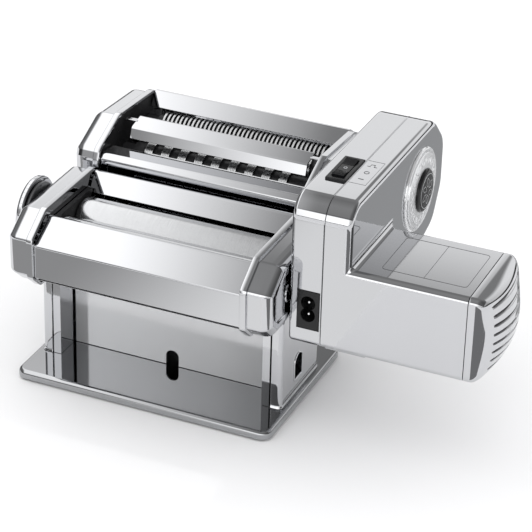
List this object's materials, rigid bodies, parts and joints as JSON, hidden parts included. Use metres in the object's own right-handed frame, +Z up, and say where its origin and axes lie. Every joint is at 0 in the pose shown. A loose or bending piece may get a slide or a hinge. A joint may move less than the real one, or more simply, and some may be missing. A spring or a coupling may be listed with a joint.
{
  "type": "pasta roller machine",
  "caption": "Chromed pasta machine: smooth dough rollers, a cutter attachment with wide and narrow cutting rollers, a thickness knob and a clip-on motor drive.",
  "frame": {"origin": "on the surface it stands on, under the middle of the whole machine's bounding box", "axes": "+X to the machine's right along the rollers, towards the motor; +Y to its rear, towards the cutters; +Z up"},
  "size_m": [0.3516, 0.2119, 0.18],
  "materials": {
    "chrome_body": "mirror chrome plate",
    "chrome_cutter": "mirror chrome plate",
    "chrome_drive": "mirror chrome plate",
    "chrome_knob": "mirror chrome plate",
    "dial_grey": "satin grey with dark numbers",
    "roller_aluminium": "fine turned satin",
    "cutter_metal": "satin",
    "steel": "plain ground steel",
    "black_plastic": "glossy black",
    "dark_plastic": "satin black",
    "nylon": "natural nylon",
    "foot_rubber": "matt"
  },
  "bodies": {
    "machine": {"base_tray": "chrome_body", "foot_front_left": "foot_rubber", "foot_front_right": "foot_rubber", "foot_rear_left": "foot_rubber", "foot_rear_right": "foot_rubber", "left_side_frame": "chrome_body", "right_side_frame": "chrome_body", "left_leg_cover": "chrome_body", "right_leg_cover": "chrome_body", "centre_wall": "chrome_body", "left_end_cover": "chrome_body", "right_end_cover": "chrome_body", "front_panel": "chrome_body", "rear_panel": "chrome_body", "front_scraper": "steel", "rear_scraper": "steel", "left_roller_guard": "dark_plastic", "right_roller_guard": "dark_plastic", "front_left_bush": "nylon", "front_right_bush": "nylon", "mounting_rail": "steel"},
    "front_roller": {"front_roller": "roller_aluminium", "front_roller_gear": "steel"},
    "rear_carriage": {"rear_left_slide_block": "nylon", "rear_right_slide_block": "nylon"},
    "rear_roller": {"rear_roller": "roller_aluminium", "rear_roller_gear": "steel"},
    "adjuster": {"adjuster_cam_shaft": "steel"},
    "knob": {"thickness_knob": "chrome_knob", "knob_dial_ring": "dial_grey"},
    "cutter": {"cutter_left_cover": "chrome_cutter", "cutter_right_cover": "chrome_cutter", "cutter_left_plate": "dark_plastic", "cutter_right_plate": "dark_plastic", "cutter_ridge": "chrome_cutter", "cutter_front_shell": "chrome_cutter", "cutter_rear_shell": "chrome_cutter", "fettuccine_comb": "steel", "tagliolini_comb": "steel"},
    "fettuccine_front_roller": {"fettuccine_front_roller": "cutter_metal", "fettuccine_front_gear": "steel"},
    "fettuccine_rear_roller": {"fettuccine_rear_roller": "cutter_metal", "fettuccine_rear_gear": "steel"},
    "tagliolini_front_roller": {"tagliolini_front_roller": "cutter_metal", "tagliolini_front_gear": "steel"},
    "tagliolini_rear_roller": {"tagliolini_rear_roller": "cutter_metal", "tagliolini_rear_gear": "steel"},
    "motor_unit": {"gearbox_inner_shell": "chrome_drive", "motor_housing": "chrome_drive", "motor_end_cap": "chrome_drive", "medallion": "chrome_drive", "medallion_badge": "black_plastic", "switch_bezel": "black_plastic", "power_inlet": "black_plastic", "electric_motor": "steel"},
    "switch": {"switch_rocker": "black_plastic"},
    "motor_pinion": {"motor_pinion": "steel"},
    "first_idler_gear": {"first_idler_gear": "nylon"},
    "second_idler_gear": {"second_idler_gear": "steel"},
    "output_gear": {"output_gear": "steel"}
  },
  "joints": [
    {"name": "front_roller_spin", "type": "hinge", "parent": "machine", "child": "front_roller", "pos_m": [-0.06925, -0.06896, 0.104], "axis": [1, 0, 0], "continuous": true},
    {"name": "rear_roller_slide", "type": "slide", "parent": "machine", "child": "rear_carriage", "axis": [0, 1, 0], "range_m": [-0.00054, 0.00188]},
    {"name": "rear_roller_spin", "type": "hinge", "parent": "rear_carriage", "child": "rear_roller", "pos_m": [-0.06925, -0.03603, 0.104], "axis": [1, 0, 0], "continuous": true},
    {"name": "knob_turn", "type": "hinge", "parent": "machine", "child": "adjuster", "pos_m": [-0.16825, -0.0525, 0.111], "axis": [-1, 0, 0], "range_deg": [-252, 72]},
    {"name": "knob_pull", "type": "slide", "parent": "adjuster", "child": "knob", "axis": [-1, 0, 0], "range_m": [0, 0.004], "stiffness_N_per_m": 600, "springref_m": -0.004},
    {"name": "cutter_lift", "type": "slide", "parent": "machine", "child": "cutter", "axis": [0, 0, 1], "range_m": [0, 0.06]},
    {"name": "fettuccine_front_spin", "type": "hinge", "parent": "cutter", "child": "fettuccine_front_roller", "pos_m": [-0.06925, 0.0165, 0.1255], "axis": [1, 0, 0], "continuous": true},
    {"name": "fettuccine_rear_spin", "type": "hinge", "parent": "cutter", "child": "fettuccine_rear_roller", "pos_m": [-0.06925, 0.0355, 0.1255], "axis": [1, 0, 0], "continuous": true},
    {"name": "tagliolini_front_spin", "type": "hinge", "parent": "cutter", "child": "tagliolini_front_roller", "pos_m": [-0.06925, 0.0555, 0.132], "axis": [1, 0, 0], "continuous": true},
    {"name": "tagliolini_rear_spin", "type": "hinge", "parent": "cutter", "child": "tagliolini_rear_roller", "pos_m": [-0.06925, 0.0745, 0.132], "axis": [1, 0, 0], "continuous": true},
    {"name": "motor_unit_slide", "type": "slide", "parent": "cutter", "child": "motor_unit", "axis": [1, 0, 0], "range_m": [0, 0.04]},
    {"name": "output_gear_spin", "type": "hinge", "parent": "motor_unit", "child": "output_gear", "pos_m": [-0.06925, 0.0555, 0.132], "axis": [1, 0, 0], "continuous": true},
    {"name": "second_idler_spin", "type": "hinge", "parent": "motor_unit", "child": "second_idler_gear", "pos_m": [-0.06925, 0.02838, 0.11502], "axis": [1, 0, 0], "continuous": true},
    {"name": "first_idler_spin", "type": "hinge", "parent": "motor_unit", "child": "first_idler_gear", "pos_m": [-0.06925, -0.00547, 0.1182], "axis": [1, 0, 0], "continuous": true},
    {"name": "motor_pinion_spin", "type": "hinge", "parent": "motor_unit", "child": "motor_pinion", "pos_m": [-0.06925, -0.03665, 0.1002], "axis": [1, 0, 0], "continuous": true},
    {"name": "switch_tilt", "type": "hinge", "parent": "motor_unit", "child": "switch", "pos_m": [0.04545, -0.0205, 0.174], "axis": [1, 0, 0], "range_deg": [-8, 8]}
  ],
  "couplings": [
    {"joint": "rear_roller_spin", "follows": "front_roller_spin", "ratio": -1},
    {"joint": "rear_roller_slide", "follows": "knob_turn", "m_per_rad": -0.00042441},
    {"joint": "fettuccine_rear_spin", "follows": "fettuccine_front_spin", "ratio": -1},
    {"joint": "tagliolini_rear_spin", "follows": "tagliolini_front_spin", "ratio": -1},
    {"joint": "output_gear_spin", "follows": "tagliolini_front_spin", "ratio": 1},
    {"joint": "second_idler_spin", "follows": "tagliolini_front_spin", "ratio": -2.2},
    {"joint": "first_idler_spin", "follows": "tagliolini_front_spin", "ratio": 5.28},
    {"joint": "motor_pinion_spin", "follows": "tagliolini_front_spin", "ratio": -13.728}
  ]
}
